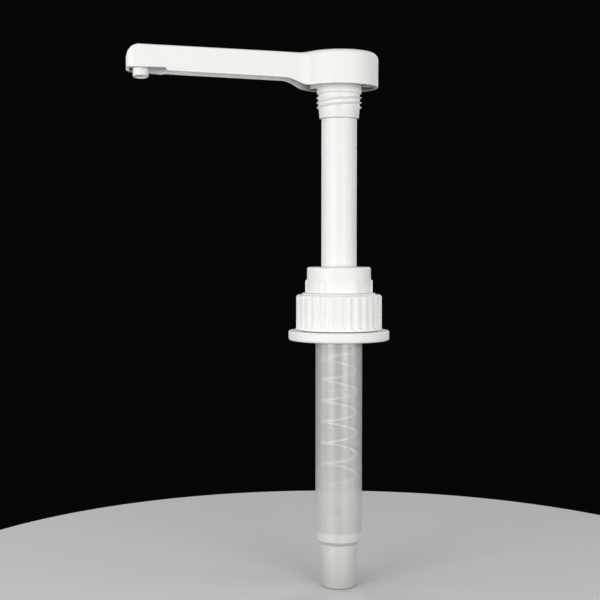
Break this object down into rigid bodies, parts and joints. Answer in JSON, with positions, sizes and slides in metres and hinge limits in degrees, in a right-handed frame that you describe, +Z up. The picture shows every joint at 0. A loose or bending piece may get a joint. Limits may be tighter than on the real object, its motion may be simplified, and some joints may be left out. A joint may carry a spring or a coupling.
{
  "type": "dispensing pump",
  "caption": "Hand-pressed dispensing pump: spout on a round head, sprung hollow stem, twist-lock ring, ribbed cap over a flanged neck, and a translucent chamber with ball valves.",
  "frame": {"origin": "on the pump axis, in the underside of the wide mounting flange, where the container begins", "axes": "+Z up along the stem, -X along the spout at rest, Y across the spout"},
  "size_m": [0.126, 0.0488, 0.2598],
  "materials": {
    "white_plastic": "satin moulded",
    "stem_plastic": "smooth moulded",
    "inner_plastic": "plain moulded",
    "natural_plastic": "translucent, uncoloured",
    "soft_plastic": "soft, dull",
    "spring_steel": "drawn wire",
    "ball_steel": "polished"
  },
  "bodies": {
    "mounting_flange": {"mounting_flange": "white_plastic"},
    "housing": {"neck_gasket": "soft_plastic", "lock_ring": "white_plastic", "stem_seal": "soft_plastic", "cylinder": "natural_plastic", "ball_cage": "inner_plastic", "return_spring": "spring_steel"},
    "cap": {"cap": "white_plastic"},
    "inlet_ball": {"inlet_ball": "ball_steel"},
    "spring_seat": {"spring_seat": "inner_plastic"},
    "plunger": {"piston_retainer": "inner_plastic", "piston": "soft_plastic", "stem": "stem_plastic", "nozzle_body": "stem_plastic", "head_shell": "white_plastic", "channel_plug": "inner_plastic", "outlet_tube": "stem_plastic"},
    "outlet_ball": {"outlet_ball": "ball_steel"}
  },
  "joints": [
    {"name": "unscrew_lift", "type": "slide", "parent": "mounting_flange", "child": "housing", "axis": [0, 0, 1], "range_m": [0, 0.00844]},
    {"name": "cap_turn", "type": "hinge", "parent": "housing", "child": "cap", "pos_m": [0, 0, 0], "axis": [0, 0, 1], "range_deg": [0, 719]},
    {"name": "pump_stroke", "type": "slide", "parent": "housing", "child": "spring_seat", "axis": [0, 0, 1], "range_m": [-0.0764, 0], "stiffness_N_per_m": 180, "springref_m": 0.045, "deforming": ["return_spring"]},
    {"name": "head_swivel", "type": "hinge", "parent": "spring_seat", "child": "plunger", "pos_m": [0, 0, 0], "axis": [0, 0, 1], "continuous": true},
    {"name": "inlet_ball_lift", "type": "slide", "parent": "housing", "child": "inlet_ball", "axis": [0, 0, 1], "range_m": [0, 0.003]},
    {"name": "outlet_ball_lift", "type": "slide", "parent": "plunger", "child": "outlet_ball", "axis": [0, 0, 1], "range_m": [0, 0.003]}
  ],
  "couplings": [
    {"joint": "cap_turn", "follows": "unscrew_lift", "rad_per_m": 1485.4}
  ]
}
